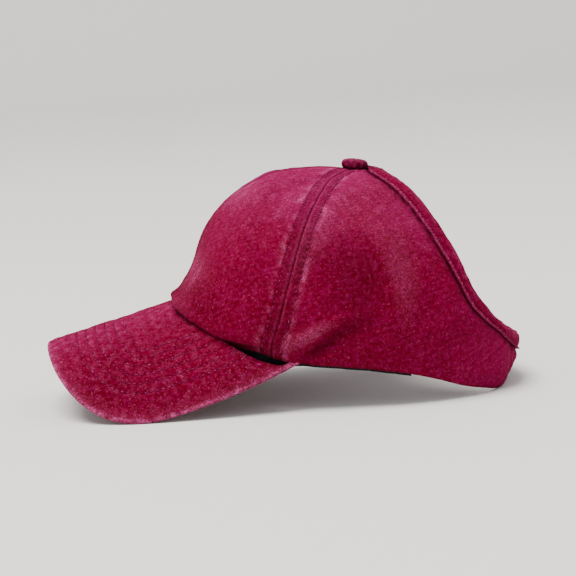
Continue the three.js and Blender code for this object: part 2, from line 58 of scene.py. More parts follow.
# up, then out and rise at the front, the side and the back: shares of the rim's reach and of the height
crownSections = np.array([
    (0.00, 1.000, 0.000, 1.000, 0.000, 1.000, 0.000),
    (0.06, 1.000, 0.060, 1.020, 0.075, 1.030, 0.070),
    (0.14, 0.965, 0.130, 1.030, 0.170, 1.050, 0.160),
    (0.24, 0.905, 0.245, 1.030, 0.290, 1.055, 0.270),
    (0.34, 0.865, 0.345, 1.010, 0.410, 1.035, 0.385),
    (0.44, 0.850, 0.450, 0.970, 0.520, 0.995, 0.490),
    (0.54, 0.815, 0.575, 0.905, 0.630, 0.930, 0.600),
    (0.64, 0.750, 0.700, 0.810, 0.740, 0.840, 0.710),
    (0.73, 0.665, 0.800, 0.690, 0.830, 0.720, 0.810),
    (0.81, 0.560, 0.905, 0.545, 0.905, 0.570, 0.900),
    (0.88, 0.420, 0.985, 0.370, 0.960, 0.390, 0.960),
    (0.94, 0.220, 1.015, 0.190, 0.990, 0.200, 0.990),
    (1.00, 0.000, 1.000, 0.000, 1.000, 0.000, 1.000),
])
# degrees from the front, height of the rim behind the brim as a share of the crown's height
rimHeights = np.array([
    (74, 0.132), (90, 0.109), (105, 0.078), (116, 0.044), (125, 0.011), (136, -0.017), (150, -0.039),
    (165, -0.038), (180, -0.030),
])
# share up the crown, angle of the seam between front and side panel
seamLine = np.array([
    (0.00, 64.5), (0.08, 65.6), (0.18, 67.5), (0.33, 69.5),
    (0.50, 71.0), (0.70, 71.5), (0.86, 71.0), (1.00, 68.0),
])


def smoothStep(low, high, at):
    # Nought below, one above, and an even S between
    s = np.clip((at - low) / (high - low), 0, 1)
    return s * s * (3 - 2 * s)


def bell(at, width):
    # One at nought, and e to the minus square of the distance in widths
    return np.exp(-((at / width) ** 2))


def mix(a, b, share):
    return a + (b - a) * share


def unit(vectors):
    return vectors / (np.linalg.norm(vectors, axis=-1, keepdims=True) + 1e-12)


def smoothThrough(stations, values, at):
    # Cubic through the stations, each with the slope that its two neighbours give
    slopes = np.gradient(values, stations)
    at = np.clip(at, stations[0], stations[-1])
    i = np.clip(np.searchsorted(stations, at) - 1, 0, len(stations) - 2)
    span = stations[i + 1] - stations[i]
    s = (at - stations[i]) / span
    start = values[i] * (1 + 2 * s) * (1 - s) ** 2 + slopes[i] * span * s * (1 - s) ** 2
    return start + values[i + 1] * s * s * (3 - 2 * s) - slopes[i + 1] * span * s * s * (1 - s)


def cloud(places, size, seed, waves=20):
    # Sum of plane waves of about one length, in seeded directions: soft lumps with a spread of one
    draw = np.random.default_rng(seed)
    ways = unit(draw.normal(size=(waves, places.shape[-1])))
    ways = ways * 2 * np.pi / size * draw.uniform(0.6, 1.5, (waves, 1))
    total = np.zeros(places.shape[:-1])
    for way, turn in zip(ways, draw.uniform(0, 2 * np.pi, waves)):
        total += np.cos(places @ way + turn)
    return total / np.sqrt(waves / 2)


def settle(points):
    # Turned about Y to the tilt that the cap rests at, moved to the frame, and from millimetres to metres
    c, s = np.cos(np.radians(rest["turn"])), np.sin(np.radians(rest["turn"]))
    x = points[..., 0] * c + points[..., 2] * s
    z = points[..., 2] * c - points[..., 0] * s
    return (np.stack([x, points[..., 1], z], -1) + np.array(rest["shift"])) / 1000


def settleVector(vector):
    return Vector(settle(np.array(vector, float)) - settle(np.zeros(3))).normalized()


def linear(hexColour):
    # sRGB hex to the linear colour that the shader takes
    parts = np.array([int(hexColour[i:i + 2], 16) for i in (1, 3, 5)]) / 255
    value = np.where(parts <= 0.04045, parts / 12.92, ((parts + 0.055) / 1.055) ** 2.4)
    return (*[float(v) for v in value], 1.0)


def addNode(tree, kind, settings=None, links=None):
    # One node, with its properties or socket values, and links from (node, output) into its inputs
    node = tree.nodes.new(kind)
    for key, value in (settings or {}).items():
        if isinstance(key, str) and hasattr(node, key):
            setattr(node, key, value)
        else:
            node.inputs[key].default_value = value
    for key, (source, output) in (links or {}).items():
        tree.links.new(source.outputs[output], node.inputs[key])
    return node


def washedCotton(name, look):
    # Garment-washed cotton twill: dye worn off the high yarns leaves pale heather; attributes add wear with
    # painted highlights, painted shade in seams, channels and hollows, and painted light from above
    material = bpy.data.materials.new(name)
    material.use_nodes = True
    tree = material.node_tree
    tree.nodes.clear()
    place = addNode(tree, "ShaderNodeTexCoord")
    threads = addNode(tree, "ShaderNodeUVMap", {"uv_map": "cloth"})
    stretch = {"Scale": (1.0, look["slubStretch"], 1.0)}
    slubPlace = addNode(tree, "ShaderNodeMapping", stretch, {"Vector": (threads, "UV")})
    lean = {"Rotation": (0, 0, np.radians(look["twillTurn"]))}
    twillPlace = addNode(tree, "ShaderNodeMapping", lean, {"Vector": (threads, "UV")})

    # Patterns: size in mm, detail, roughness, and the place they are drawn on
    source = {}
    for pattern, size, detail, roughness, onto in (
        ("clouds", look["cloudSize"], 3, 0.55, (place, "Object")),
        ("heather", look["heatherSize"], 3, 0.7, (place, "Object")),
        ("specks", look["speckSize"], 1, 0.5, (place, "Object")),
        ("grain", look["grainSize"], 3, 0.75, (place, "Object")),
        ("slubs", look["slubSize"], 2, 0.6, (slubPlace, "Vector")),
    ):
        settings = {"Scale": 1000 / size, "Detail": detail, "Roughness": roughness}
        source[pattern] = addNode(tree, "ShaderNodeTexNoise", settings, {"Vector": onto}), 0
    # At scale 1 the wave repeats every pi / 10
    lines = 1000 / look["twillPitch"] * np.pi / 10
    settings = {"Scale": lines, "Distortion": 1.4, "Detail": 1.0, "Detail Scale": 2.0}
    source["twill"] = addNode(tree, "ShaderNodeTexWave", settings, {"Vector": (twillPlace, "Vector")}), 0
    for key in ("wearAndHighlight", "shade", "fade"):
        source[key] = addNode(tree, "ShaderNodeAttribute", {"attribute_name": key}), "Fac"
    settings = {"From Min": 0.34, "From Max": 0.68, "To Min": 0.1, "To Max": 1.6}
    broken = addNode(tree, "ShaderNodeMapRange", settings, {"Value": source["grain"]})
    # Wear and painted highlights, broken up by the grain
    links = {0: source["wearAndHighlight"], 1: (broken, 0)}
    source["wornAndHighlit"] = addNode(tree, "ShaderNodeMath", {"operation": "MULTIPLY"}, links), 0

    # Layers from below: pattern, the values of it that give none and most of the layer, most, colour
    ground = addNode(tree, "ShaderNodeRGB")
    ground.outputs[0].default_value = linear(look["deep"])
    colour = ground, 0
    for pattern, none, full, most, tint in (
        ("clouds", 0.32, 0.68, 1.0, "base"),
        # the fade layer paints light from above: the upper crown and the brim's crest lighter
        ("fade", 0.0, 1.0, 1.0, "faded"),
        ("heather", 0.42, 0.78, look["heather"], "pale"),
        ("slubs", 0.56, 0.8, look["slub"], "pale"),
        ("heather", 0.5, 0.28, look["heather"] * 0.45, "deep"),
        ("specks", 0.63, 0.74, look["speck"], "chalk"),
        ("twill", 0.1, 0.9, look["twill"], "deep"),
        # wear, with painted highlights on ridges and on the upper crown
        ("wornAndHighlit", 0.0, 1.0, 1.0, "chalk"),
        # painted shade: seams, channels, grooves, hollows, the low crown and the inner faces
        ("shade", 0.0, 1.0, 1.0, "shadeTone"),
    ):
        settings = {"From Min": none, "From Max": full, "To Max": most}
        share = addNode(tree, "ShaderNodeMapRange", settings, {"Value": source[pattern]})
        settings = {"data_type": "RGBA", 7: linear(look[tint])}
        colour = addNode(tree, "ShaderNodeMix", settings, {0: (share, 0), 6: colour}), 2
    settings = {"From Min": 0.3, "From Max": 0.7, "To Min": 1 - look["grain"], "To Max": 1 + look["grain"]}
    tone = addNode(tree, "ShaderNodeMapRange", settings, {"Value": source["grain"]})
    settings = {"data_type": "RGBA", "blend_type": "MULTIPLY", 0: 1.0}
    grained = addNode(tree, "ShaderNodeMix", settings, {6: colour, 7: (tone, 0)})

    settings = {"operation": "MULTIPLY", 1: look["heatherRelief"]}
    relief = addNode(tree, "ShaderNodeMath", settings, {0: source["heather"]})
    settings = {"operation": "MULTIPLY_ADD", 1: look["twillRelief"]}
    height = addNode(tree, "ShaderNodeMath", settings, {0: source["twill"], 2: (relief, 0)})
    bump = addNode(tree, "ShaderNodeBump", {"Strength": 0.6, "Distance": 0.001}, {"Height": (height, 0)})
    settings = {
        "Roughness": look["roughness"], "Specular IOR Level": look["specular"], "Sheen Weight": look["sheen"],
        "Sheen Roughness": 0.55, "Sheen Tint": linear(look["sheenTint"]),
    }
    links = {"Base Color": (grained, 2), "Normal": (bump, 0)}
    shader = addNode(tree, "ShaderNodeBsdfPrincipled", settings, links)
    addNode(tree, "ShaderNodeOutputMaterial", {}, {"Surface": (shader, 0)})
    return material


# Washed cotton twill, wine red: matt, with next to no highlight, pale where the weave stands up. Its
# twill lines of 0.7 mm are too fine for the picture, so they are drawn 3.2 mm apart. Sizes are in mm.
panelLook = {
    # The faded tone is painted light from above; the dark tone is painted shade
    "deep": "#580010", "base": "#6A001F", "faded": "#860A48", "pale": "#941458", "chalk": "#BC5488",
    "shadeTone": "#2C0004", "cloudSize": 46, "heatherSize": 2.3, "speckSize": 1.1, "grainSize": 0.95,
    "slubSize": 2.4, "slubStretch": 0.22, "twillPitch": 3.2, "twillTurn": 58,
    "grain": 0.38, "heather": 0.55, "slub": 0.3, "speck": 0.22, "twill": 0.2,
    "heatherRelief": 0.35, "twillRelief": 0.12, "roughness": 0.95, "specular": 0.03,
    "sheen": 0.08, "sheenTint": "#C4306E",
}
washedTwill = washedCotton("washed_cotton_twill", panelLook)

# The same twill drawn tight over the brim's stiffener: a little darker, with more pale specks
brimLook = {"deep": "#580010", "base": "#66001B", "speck": 0.36, "cloudSize": 38}
brimTwill = washedCotton("stitched_brim_twill", {**panelLook, **brimLook})

# A strip of the twill folded lengthwise: its lines run another way; its fold is worn pale and carries a
# painted highlight where it turns up to the light
bindingLook = {"base": "#6E0026", "twillTurn": 15, "cloudSize": 30, "heather": 0.6}
bindingTwill = washedCotton("folded_binding_twill", {**panelLook, **bindingLook})

# Twill stretched tight over a round blank: it kept its dye, so it is the darkest red
buttonLook = {"deep": "#3C0008", "base": "#46000C", "grain": 0.2, "cloudSize": 9, "heatherSize": 2.0}
buttonTwill = washedCotton("covered_button_twill", {**panelLook, **buttonLook})

# Spun cotton thread, dyed with the cloth: its strands of about 1 mm catch a little more light
threadLook = {"base": "#740630", "heatherSize": 1.6, "twillPitch": 2.0, "speck": 0.3, "cloudSize": 20}
seamThread = washedCotton("cotton_sewing_thread", {**panelLook, **threadLook})

# Black cotton twill inside the rim: nearly without light in the cap's own shade
bandLook = {
    "deep": "#0B0A0C", "base": "#151317", "faded": "#151317", "pale": "#232026", "chalk": "#37333B",
    "shadeTone": "#040405", "speck": 0.2, "sheen": 0.1, "sheenTint": "#8A8A90",
}
blackTwill = washedCotton("black_band_twill", {**panelLook, **bandLook})
print("materials made")


def gridQuads(count, size, start=0):
    # Corners in turn of the quads of a grid of count by size points
    i, j = np.meshgrid(np.arange(count - 1), np.arange(size - 1), indexing="ij")
    a = start + i * size + j
    return np.stack([a, a + size, a + size + 1, a + 1], -1).reshape(-1, 4)


def shell(outer, inner):
    # Two grids of points, the outer and the inner face, joined by a strip round the border
    count, size = outer.shape[:2]
    total = count * size
    ring = np.concatenate([
        np.arange(count) * size,
        (count - 1) * size + np.arange(1, size),
        np.arange(count - 2, -1, -1) * size + size - 1,
        np.arange(size - 2, 0, -1),
    ])
    after = np.roll(ring, -1)
    strip = np.stack([ring + total, after + total, after, ring], -1)
    quads = np.concatenate([gridQuads(count, size), gridQuads(count, size, total)[:, ::-1], strip])
    return np.concatenate([outer.reshape(-1, 3), inner.reshape(-1, 3)]), quads


def ringQuads(count, size, closed):
    # Quads round rings of size points, from each ring to the next
    i = np.arange(count if closed else count - 1)[:, None]
    j = np.arange(size)[None, :]
    here, there = i * size, ((i + 1) % count) * size
    k = (j + 1) % size
    return np.stack([here + j, there + j, there + k, here + k], -1).reshape(-1, 4)


def makePiece(name, points, faces, material, nodeName, values=None, uv=None):
    mesh = bpy.data.meshes.new(name)
    mesh.vertices.add(len(points))
    mesh.vertices.foreach_set("co", settle(points).astype(np.float32).ravel())
    mesh.loops.add(faces.size)
    mesh.loops.foreach_set("vertex_index", faces.ravel().astype(np.int32))
    mesh.polygons.add(len(faces))
    mesh.polygons.foreach_set("loop_start", np.arange(0, faces.size, faces.shape[1], dtype=np.int32))
    mesh.polygons.foreach_set("use_smooth", np.ones(len(faces), dtype=bool))
    mesh.update(calc_edges=True)
    if uv is not None:
        layer = mesh.uv_layers.new(name="cloth")
        layer.data.foreach_set("uv", (uv[faces.ravel()] / 1000).astype(np.float32).ravel())
    for key, numbers in (values or {}).items():
        attribute = mesh.attributes.new(key, "FLOAT", "POINT")
        attribute.data.foreach_set("value", np.asarray(numbers, np.float32).ravel())
    mesh.materials.append(material)
    mesh.validate()
    piece = bpy.data.objects.new(name, mesh)
    bpy.context.scene.collection.objects.link(piece)
    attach(piece, "root")
    if nodeName:
        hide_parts(nodeName)
    return piece


slope = np.radians(brim["slope"])
brimStart = np.array([crown["axis"] - crown["front"], 0, brim["rimHeight"]])
brimAhead = np.array([-np.cos(slope), 0, -np.sin(slope)])
brimUp = np.array([-np.sin(slope), 0, np.cos(slope)])


def brimPoint(ahead, around, above):
    # The plate bent round a cylinder: so far ahead, so far along the bend, so far above its top face
    turn = around / brim["bend"]
    radius = brim["bend"] + above
    lift = radius * np.cos(turn) - brim["bend"]
    side = radius * np.sin(turn)
    point = brimStart + ahead[..., None] * brimAhead + lift[..., None] * brimUp
    return point + side[..., None] * np.array([0, 1, 0])


def brimPlace(x, y):
    # The plate's distances ahead and along the bend over a point of the plan
    turn = np.arcsin(np.clip(y / brim["bend"], -0.985, 0.985))
    fall = brim["bend"] * (1 - np.cos(turn))
    return (x - brimStart[0] + fall * brimUp[0]) / brimAhead[0], turn * brim["bend"]


def rimPoint(angle):
    # A squared oval in plan; its height follows the brim's side, lifts off it at the corner, then dips
    c, s = np.cos(angle), np.sin(angle)
    power = 2 / np.where(c > 0, crown["frontSquareness"], crown["backSquareness"])
    reach = np.where(c > 0, crown["front"], crown["back"])
    x = crown["axis"] - reach * np.sign(c) * np.abs(c) ** power
    y = -crown["halfWidth"] * np.sign(s) * np.abs(s) ** power
    turned = np.degrees(np.abs(np.arctan2(s, c)))
    ahead, around = brimPlace(x, y)
    end, spread = brim["endAngle"], brim["endSpread"]
    offBrim = smoothStep(end - 3 * spread, end - spread, turned)
    brimSide = brimPoint(ahead, around, 0.0)[..., 2] - brim["wall"] * (1 - offBrim)
    brimSide = brimSide + brim["endLift"] * bell(turned - end, spread)
    behind = smoothThrough(rimHeights[:, 0], rimHeights[:, 1], turned) * crown["height"]
    z = mix(brimSide, behind, smoothStep(brim["leaveFrom"], brim["leaveTo"], turned))
    return np.stack([x, y, z], -1)


def crownPoint(angle, up):
    # From the rim to the button by three sections, weighed by the squares of sine and cosine
    angle, up = np.broadcast_arrays(angle, up)
    foot = rimPoint(angle)
    c = np.cos(angle)
    weights = (np.where(c > 0, c * c, 0), 1 - c * c, np.where(c < 0, c * c, 0))
    section = [smoothThrough(crownSections[:, 0], crownSections[:, k], up) for k in range(1, 7)]
    out = sum(w * section[2 * k] for k, w in enumerate(weights))
    rise = sum(w * section[2 * k + 1] for k, w in enumerate(weights)) + np.minimum(up, 0)
    x = crown["axis"] + (foot[..., 0] - crown["axis"]) * out
    z = foot[..., 2] + (crown["height"] - foot[..., 2]) * rise
    return np.stack([x, foot[..., 1] * out, z], -1)


def crownAxes(angle, up):
    # Outward normal, and the millimetres for each radian round and each share up
    step = 1e-3
    low = np.maximum(up, step)
    around = (crownPoint(angle + step, low) - crownPoint(angle - step, low)) / (2 * step)
    rising = (crownPoint(angle, low + step) - crownPoint(angle, low - step)) / (2 * step)
    normal = unit(np.cross(around, rising))
    return normal, np.linalg.norm(around, axis=-1), np.linalg.norm(rising, axis=-1)


def seamAngle(up):
    return np.radians(smoothThrough(seamLine[:, 0], seamLine[:, 1], up))


cloth = {
    "stitchAway": 5.3, "channel": 0.42, "channelWidth": 0.7, "valley": 0.6, "valleyWidth": 0.7,
    "allowance": 0.5, "allowanceFrom": 5.4, "allowanceTo": 7.6, "frontSeamShare": 0.2,
    "pucker": 0.28, "puckerPitch": 5.6, "puckerWidth": 3.2, "crumple": 0.16, "swell": 0.35,
    "gatherPitch": 11.5, "gatherDepth": 1.9, "gatherReach": 38.0, "gatherUp": 0.2, "gatherSpread": 0.13,
    "bulge": 1.1, "bulgeUp": 6.0, "bulgeWidth": 4.0, "tuck": 1.9, "grooveUp": 0.4,
    "hem": 0.7, "hemStitch": 0.25, "hemStitchUp": 7.0, "backTuck": 1.6, "backTuckUp": 9.0,
    "ripple": 0.16, "ripplePitch": 6.4,
}
# Shares of painted shade, wear and painted light: painted shade along a seam's line and in its stitch rows,
# darker allowance bands, worn streaks beside them; painted shade along the hem, in the groove over the brim,
# down the middle of the back, beside the binding, in hollows and low on the crown; painted light from above
# on the upper crown, and a lighter patch low at the back
shadeWearAndLight = {
    "seam": 0.6, "stitches": 0.55, "bands": 0.3, "streaks": 0.12, "rim": 0.3, "groove": 0.9,
    "middleBack": 0.8, "bindingEdge": 0.85, "hollow": 0.24, "low": 0.14, "crown": 0.85, "back": 0.4,
}
# side (1 is the wearer's left, 0 both), angle, up, turn from level, half length, half width, height in mm
clothFolds = [
    (1, 80.3, 0.085, 50, 11.0, 2.6, -2.1),
    (1, 77.8, 0.145, 43, 13.0, 3.0, 1.7),
    (1, 86.0, 0.170, 40, 9.0, 3.0, -0.7),
    (1, 17.0, 0.270, 82, 12.0, 3.4, 1.5),
    (0, 0.0, 0.745, 0, 24.0, 7.5, 1.5),
    (0, 0.0, 0.310, 0, 26.0, 13.0, 1.9),
    (0, 180.0, 0.210, 0, 24.0, 7.0, -1.8),
    (0, 12.0, 0.070, 8, 15.0, 6.0, 0.8),
    (0, 88.0, 0.330, 80, 22.0, 10.0, -1.1),
    (0, 76.5, 0.600, 78, 20.0, 5.0, 0.9),
    (0, 100.0, 0.450, 100, 26.0, 8.0, 0.8),
    (1, 112.0, 0.330, 60, 16.0, 6.0, -0.6),
    (1, 52.0, 0.560, 100, 18.0, 6.0, -0.5),
    (1, 60.0, 0.760, 62, 22.0, 4.0, 0.5),
    (1, 48.0, 0.840, 52, 18.0, 3.2, -0.5),
    (-1, 79.0, 0.130, 60, 13.0, 4.6, -1.5),
    (-1, 72.0, 0.180, 55, 13.0, 4.4, 1.2),
    (-1, 104.0, 0.220, 120, 15.0, 5.0, -0.9),
    (-1, 40.0, 0.300, 95, 15.0, 7.0, -0.7),
]


def dressCloth(angle, up, fromEdge=None, bound=None):
    # The crown's outer face with its folds, gathers, seams and channels, and its colour marks: where it is
    # worn, where painted highlights and painted light from above lie, and painted shade in its seams,
    # channels, grooves and hollows.
    # Each fold is a height times a bell along it and a bell across it.
    base = crownPoint(angle, up)
    normal, perRadian, perUp = crownAxes(angle, up)
    turned = np.degrees(np.abs(angle))
    perDegree = np.radians(crown["halfWidth"]) * smoothThrough(crownSections[:, 0], crownSections[:, 3], up)
    folds = np.zeros(turned.shape)
    for side, foldAngle, foldUp, turn, length, width, height in clothFolds:
        along = (turned - foldAngle) * perDegree
        above = (up - foldUp) * crown["height"]
        c, s = np.cos(np.radians(turn)), np.sin(np.radians(turn))
        onSide = 1.0 if side == 0 else (np.sign(angle) == side)
        fold = height * bell(along * c + above * s, length) * bell(above * c - along * s, width)
        folds = folds + onSide * fold
    fromBack = (180 - turned) * perDegree
    reach = 1 - smoothStep(cloth["gatherReach"] * 0.5, cloth["gatherReach"], fromBack)
    wave = np.cos(2 * np.pi * fromBack / cloth["gatherPitch"] + 0.35 * cloud(base, 30.0, 5))
    gathers = cloth["gatherDepth"] / 2 * wave * reach * bell(up - cloth["gatherUp"], cloth["gatherSpread"])

    sideAway = (np.abs(angle) - seamAngle(up)) * perRadian
    frontAway = np.where(turned < 60, np.abs(base[..., 1]), 99.0)
    rimAway = up * perUp
    relief = folds + gathers
    wearAndHighlight = np.zeros(turned.shape)
    shade = np.zeros(turned.shape)
    nearTop = smoothStep(0.99, 0.86, up)
    rough = cloud(base, 6.0, 11)
    for away, along, full in ((sideAway, rimAway, 1.0), (frontAway, rimAway, cloth["frontSeamShare"])):
        off = np.abs(away)
        padded = smoothStep(cloth["allowanceTo"], cloth["allowanceFrom"], off)
        lifted = full * cloth["allowance"] * padded * nearTop
        valley = cloth["valley"] * bell(off, cloth["valleyWidth"])
        channel = cloth["channel"] * bell(off - cloth["stitchAway"], cloth["channelWidth"])
        wander = 1.2 * cloud(base, 14.0, 3)
        puckers = cloth["pucker"] * np.cos(2 * np.pi * along / cloth["puckerPitch"] + wander)
        relief = relief + lifted - full * (valley + channel)
        relief = relief + full * puckers * bell(off - cloth["stitchAway"], cloth["puckerWidth"]) * nearTop
        # Painted shade in the seam's valley and in its stitch channels; darker allowance bands; worn streaks
        # and a worn edge beside the seam
        shade = shade + shadeWearAndLight["seam"] * bell(off, 0.5)
        shade = shade + shadeWearAndLight["stitches"] * bell(off - cloth["stitchAway"] - 0.3, 0.5)
        shade = shade + shadeWearAndLight["bands"] * bell(off - 2.9, 2.1)
        streaks = shadeWearAndLight["streaks"] + 0.12 * rough + 0.1 * cloud(base, 24.0, 13)
        wearAndHighlight = wearAndHighlight + np.clip(streaks, 0, 0.5) * bell(off - 7.6, 1.5) + 0.12 * bell(off - 1.3, 0.5)

    # Over the brim the cloth bulges above a tight groove; behind it the hem rolls under
    overBrim = smoothStep(68, 50, turned)
    groove = brim["wall"] + cloth["grooveUp"]
    bulge = cloth["bulge"] * bell(rimAway - cloth["bulgeUp"], cloth["bulgeWidth"])
    tuck = cloth["tuck"] * smoothStep(groove + 2.4, groove - 1.0, rimAway)
    relief = relief + overBrim * (bulge - tuck)
    hem = cloth["hem"] * bell(rimAway, 1.0) + cloth["hemStitch"] * bell(rimAway - cloth["hemStitchUp"], 0.9)
    relief = relief - hem * (1 - overBrim)
    # Painted shade in the groove over the brim, and along the hem where it rolls under
    shade = shade + overBrim * shadeWearAndLight["groove"] * smoothStep(groove + 1.6, groove - 0.2, rimAway)
    shade = shade + shadeWearAndLight["rim"] * bell(rimAway, 1.2) * (1 - overBrim)
    lowBack = smoothStep(cloth["backTuckUp"], 0.0, rimAway) * smoothStep(158, 172, turned)
    relief = relief - cloth["backTuck"] * lowBack
    if fromEdge is not None:
        # Painted shade: a dark line down the middle of the back, and beside the binding where it stands over
        # the cloth
        middleBack = bell(base[..., 1], 1.6) * (turned > 150)
        shade = shade + shadeWearAndLight["middleBack"] * middleBack
        relief = relief - 0.3 * middleBack
        beside = fromEdge - bound
        relief = relief - 0.5 * bell(beside - 0.4, 1.3) + 0.3 * bell(beside - 5.0, 3.0)
        shade = shade + shadeWearAndLight["bindingEdge"] * bell(beside - 0.3, 1.0) + 0.22 * bell(beside - 2.6, 2.4)
        ripple = np.cos(2 * np.pi * rimAway / cloth["ripplePitch"] + 1.5 * cloud(base, 15.0, 21))
        relief = relief + cloth["ripple"] * ripple * bell(beside - 4.0, 4.5)
    lumps = cloth["crumple"] * cloud(base, 9.0, 7) + cloth["swell"] * cloud(base, 34.0, 8)
    relief = relief + lumps * nearTop
    # Paler on fold ridges, partly wear and partly painted highlight; painted highlights on the gathers'
    # ridges; painted light on the upper crown
    wearAndHighlight = wearAndHighlight + 0.15 * np.clip(folds, 0, 2) + 0.3 * np.clip(gathers, 0, 2)
    wearAndHighlight = wearAndHighlight + 0.06 * smoothStep(0.45, 0.95, up) + 0.05 * np.clip(rough, 0, 2) * smoothStep(0.3, 0.8, up)
    # A darker patch on the side; painted shade in fold hollows and gather valleys, and low on the front and
    # sides
    shade = shade + 0.16 * bell(turned - 80, 16) * bell(up - 0.5, 0.12)
    shade = shade + shadeWearAndLight["hollow"] * np.clip(-folds - 0.35 * gathers, 0, 2)
    shade = shade + shadeWearAndLight["low"] * smoothStep(0.35, 0.05, up) * (turned < 120)
    # Painted light from above: the upper crown lighter; a lighter patch low at the back too
    fade = shadeWearAndLight["crown"] * smoothStep(0.42, 1.1, up + 0.06 * cloud(base, 40.0, 15) + 0.1 * np.cos(angle))
    fade = fade + shadeWearAndLight["back"] * bell(turned - 150, 30) * bell(up - 0.15, 0.3)
    outer = base + normal * relief[..., None]
    around = np.abs(angle) * crown["halfWidth"] * np.maximum(1 - up ** 3, 0.1)
    return {
        "base": base, "normal": normal, "outer": outer, "relief": relief,
        "wearAndHighlight": np.clip(wearAndHighlight, 0, 1), "shade": np.clip(shade, 0, 1), "fade": fade,
        "uv": np.stack([around, up * 125], -1),
    }


def panelPiece(name, dressed, sign):
    # The dressed outer face, and the lining face a cloth's thickness under it
    inward = np.minimum(dressed["relief"], 0.2) - crown["wall"]
    inner = dressed["base"] + dressed["normal"] * inward[..., None]
    outer = dressed["outer"].copy()
    if name.startswith("front"):
        outer[0, :, 1] = 0
        inner[0, :, 1] = 0
    points, quads = shell(outer, inner)
    if sign < 0:
        quads = quads[:, ::-1]
    lining = np.zeros(dressed["wearAndHighlight"].size)
    # The lining face carries painted shade, 0.25, and no wear or fade
    values = {
        "wearAndHighlight": np.concatenate([dressed["wearAndHighlight"].ravel(), lining]),
        "shade": np.concatenate([dressed["shade"].ravel(), lining + 0.25]),
        "fade": np.concatenate([dressed["fade"].ravel(), lining]),
    }
    uv = np.concatenate([dressed["uv"].reshape(-1, 2)] * 2)
    return makePiece(name, points, quads, washedTwill, name, values, uv)


frontGrid = {"along": 150, "up": 190}


def frontPanel(name, sign):
    up = np.linspace(0, crown["holeUp"], frontGrid["up"])[None, :]
    along = np.linspace(0, 1, frontGrid["along"])[:, None] ** 1.2
    angle = sign * (seamAngle(up) + 0.002) * along
    angle, up = np.broadcast_arrays(angle, up)
    return panelPiece(name, dressCloth(angle, up), sign)


frontPanel("front_panel_left", 1)
frontPanel("front_panel_right", -1)
print("front panels made")

opening = {
    "edge": np.array([
        (180, 0.955), (150, 0.945), (132, 0.915), (126, 0.870), (124, 0.800), (124, 0.728), (125, 0.657),
        (127, 0.557), (131.5, 0.395), (139, 0.312), (147, 0.260), (154.5, 0.233), (165, 0.198), (180, 0.185),
    ]),
    "width": 9.0, "gatherReach": 36.0, "holeShare": 0.05, "seamShare": 0.2, "rimShare": 0.36,
    "hole": 24, "seam": 96, "rim": 110, "gathers": 70, "across": 110,
}


def flatPlace(angle, up):
    # The crown laid flat: the button in the middle and the rim on a circle round it
    return np.stack([-(1 - up) * np.cos(angle), -(1 - up) * np.sin(angle)], -1)


def crownPlace(flat):
    angle = np.arctan2(-flat[..., 1], -flat[..., 0])
    return np.where(angle < 0, angle + 2 * np.pi, angle), 1 - np.linalg.norm(flat, axis=-1)


openingHalf = flatPlace(np.radians(opening["edge"][:, 0]), opening["edge"][:, 1])
openingLoop = np.concatenate([openingHalf, openingHalf[-2:0:-1] * (1, -1)])


def openingPoint(share):
    # Closed cubic through the loop's points, each span timed by the root of its length
    count = len(openingLoop)
    whole = np.floor(share * count).astype(int)
    s = (share * count - whole)[:, None]
    p0, p1, p2, p3 = (openingLoop[(whole + k) % count] for k in (-1, 0, 1, 2))
    spans = (p1 - p0, p2 - p1, p3 - p2)
    t0, t1, t2 = (np.linalg.norm(span, axis=1, keepdims=True) ** 0.5 for span in spans)
    slope1 = ((p1 - p0) / t0 - (p2 - p0) / (t0 + t1) + (p2 - p1) / t1) * t1
    slope2 = ((p2 - p1) / t1 - (p3 - p1) / (t1 + t2) + (p3 - p2) / t2) * t1
    start = p1 * (1 + 2 * s) * (1 - s) ** 2 + slope1 * s * (1 - s) ** 2
    return start + p2 * s * s * (3 - 2 * s) - slope2 * s * s * (1 - s)


def panelColumns():
    # Places on the side panel's outer border, and where each column meets the opening's edge
    gatherAngle = np.pi - opening["gatherReach"] / crown["halfWidth"]
    topUp = crown["holeUp"]
    parts = ("hole", "seam", "rim", "gathers")
    hole, seam, rim, gathers = (np.linspace(0, 1, opening[k], endpoint=k == "gathers") for k in parts)
    topSeam, lowSeam = seamAngle(np.array(topUp)), seamAngle(np.array(0.0))
    seamUp = topUp * (1 - seam)
    angle = np.concatenate([
        mix(np.pi, topSeam, hole), seamAngle(seamUp) - 0.002,
        mix(lowSeam, gatherAngle, rim), mix(gatherAngle, np.pi, gathers),
    ])
    up = np.concatenate([hole * 0 + topUp, seamUp, rim * 0, gathers * 0])
    share = np.concatenate([
        opening["holeShare"] * hole, mix(opening["holeShare"], opening["seamShare"], seam),
        mix(opening["seamShare"], opening["rimShare"], rim), mix(opening["rimShare"], 0.5, gathers),
    ])
    top = crownPoint(np.array(np.pi), np.array(opening["edge"][0, 1]))
    topWidth = top[0] - crown["axis"] - button["radius"] - 0.6
    bound = mix(topWidth, opening["width"], smoothStep(0, 1.5, np.arange(len(share)) / opening["hole"]))
    return flatPlace(angle, up), openingPoint(share), bound


button = {
    "radius": 7.6, "height": 5.2, "tilt": 4.5, "sides": 96, "pleats": 11, "pleatDepth": 0.07, "lumps": 0.02,
}


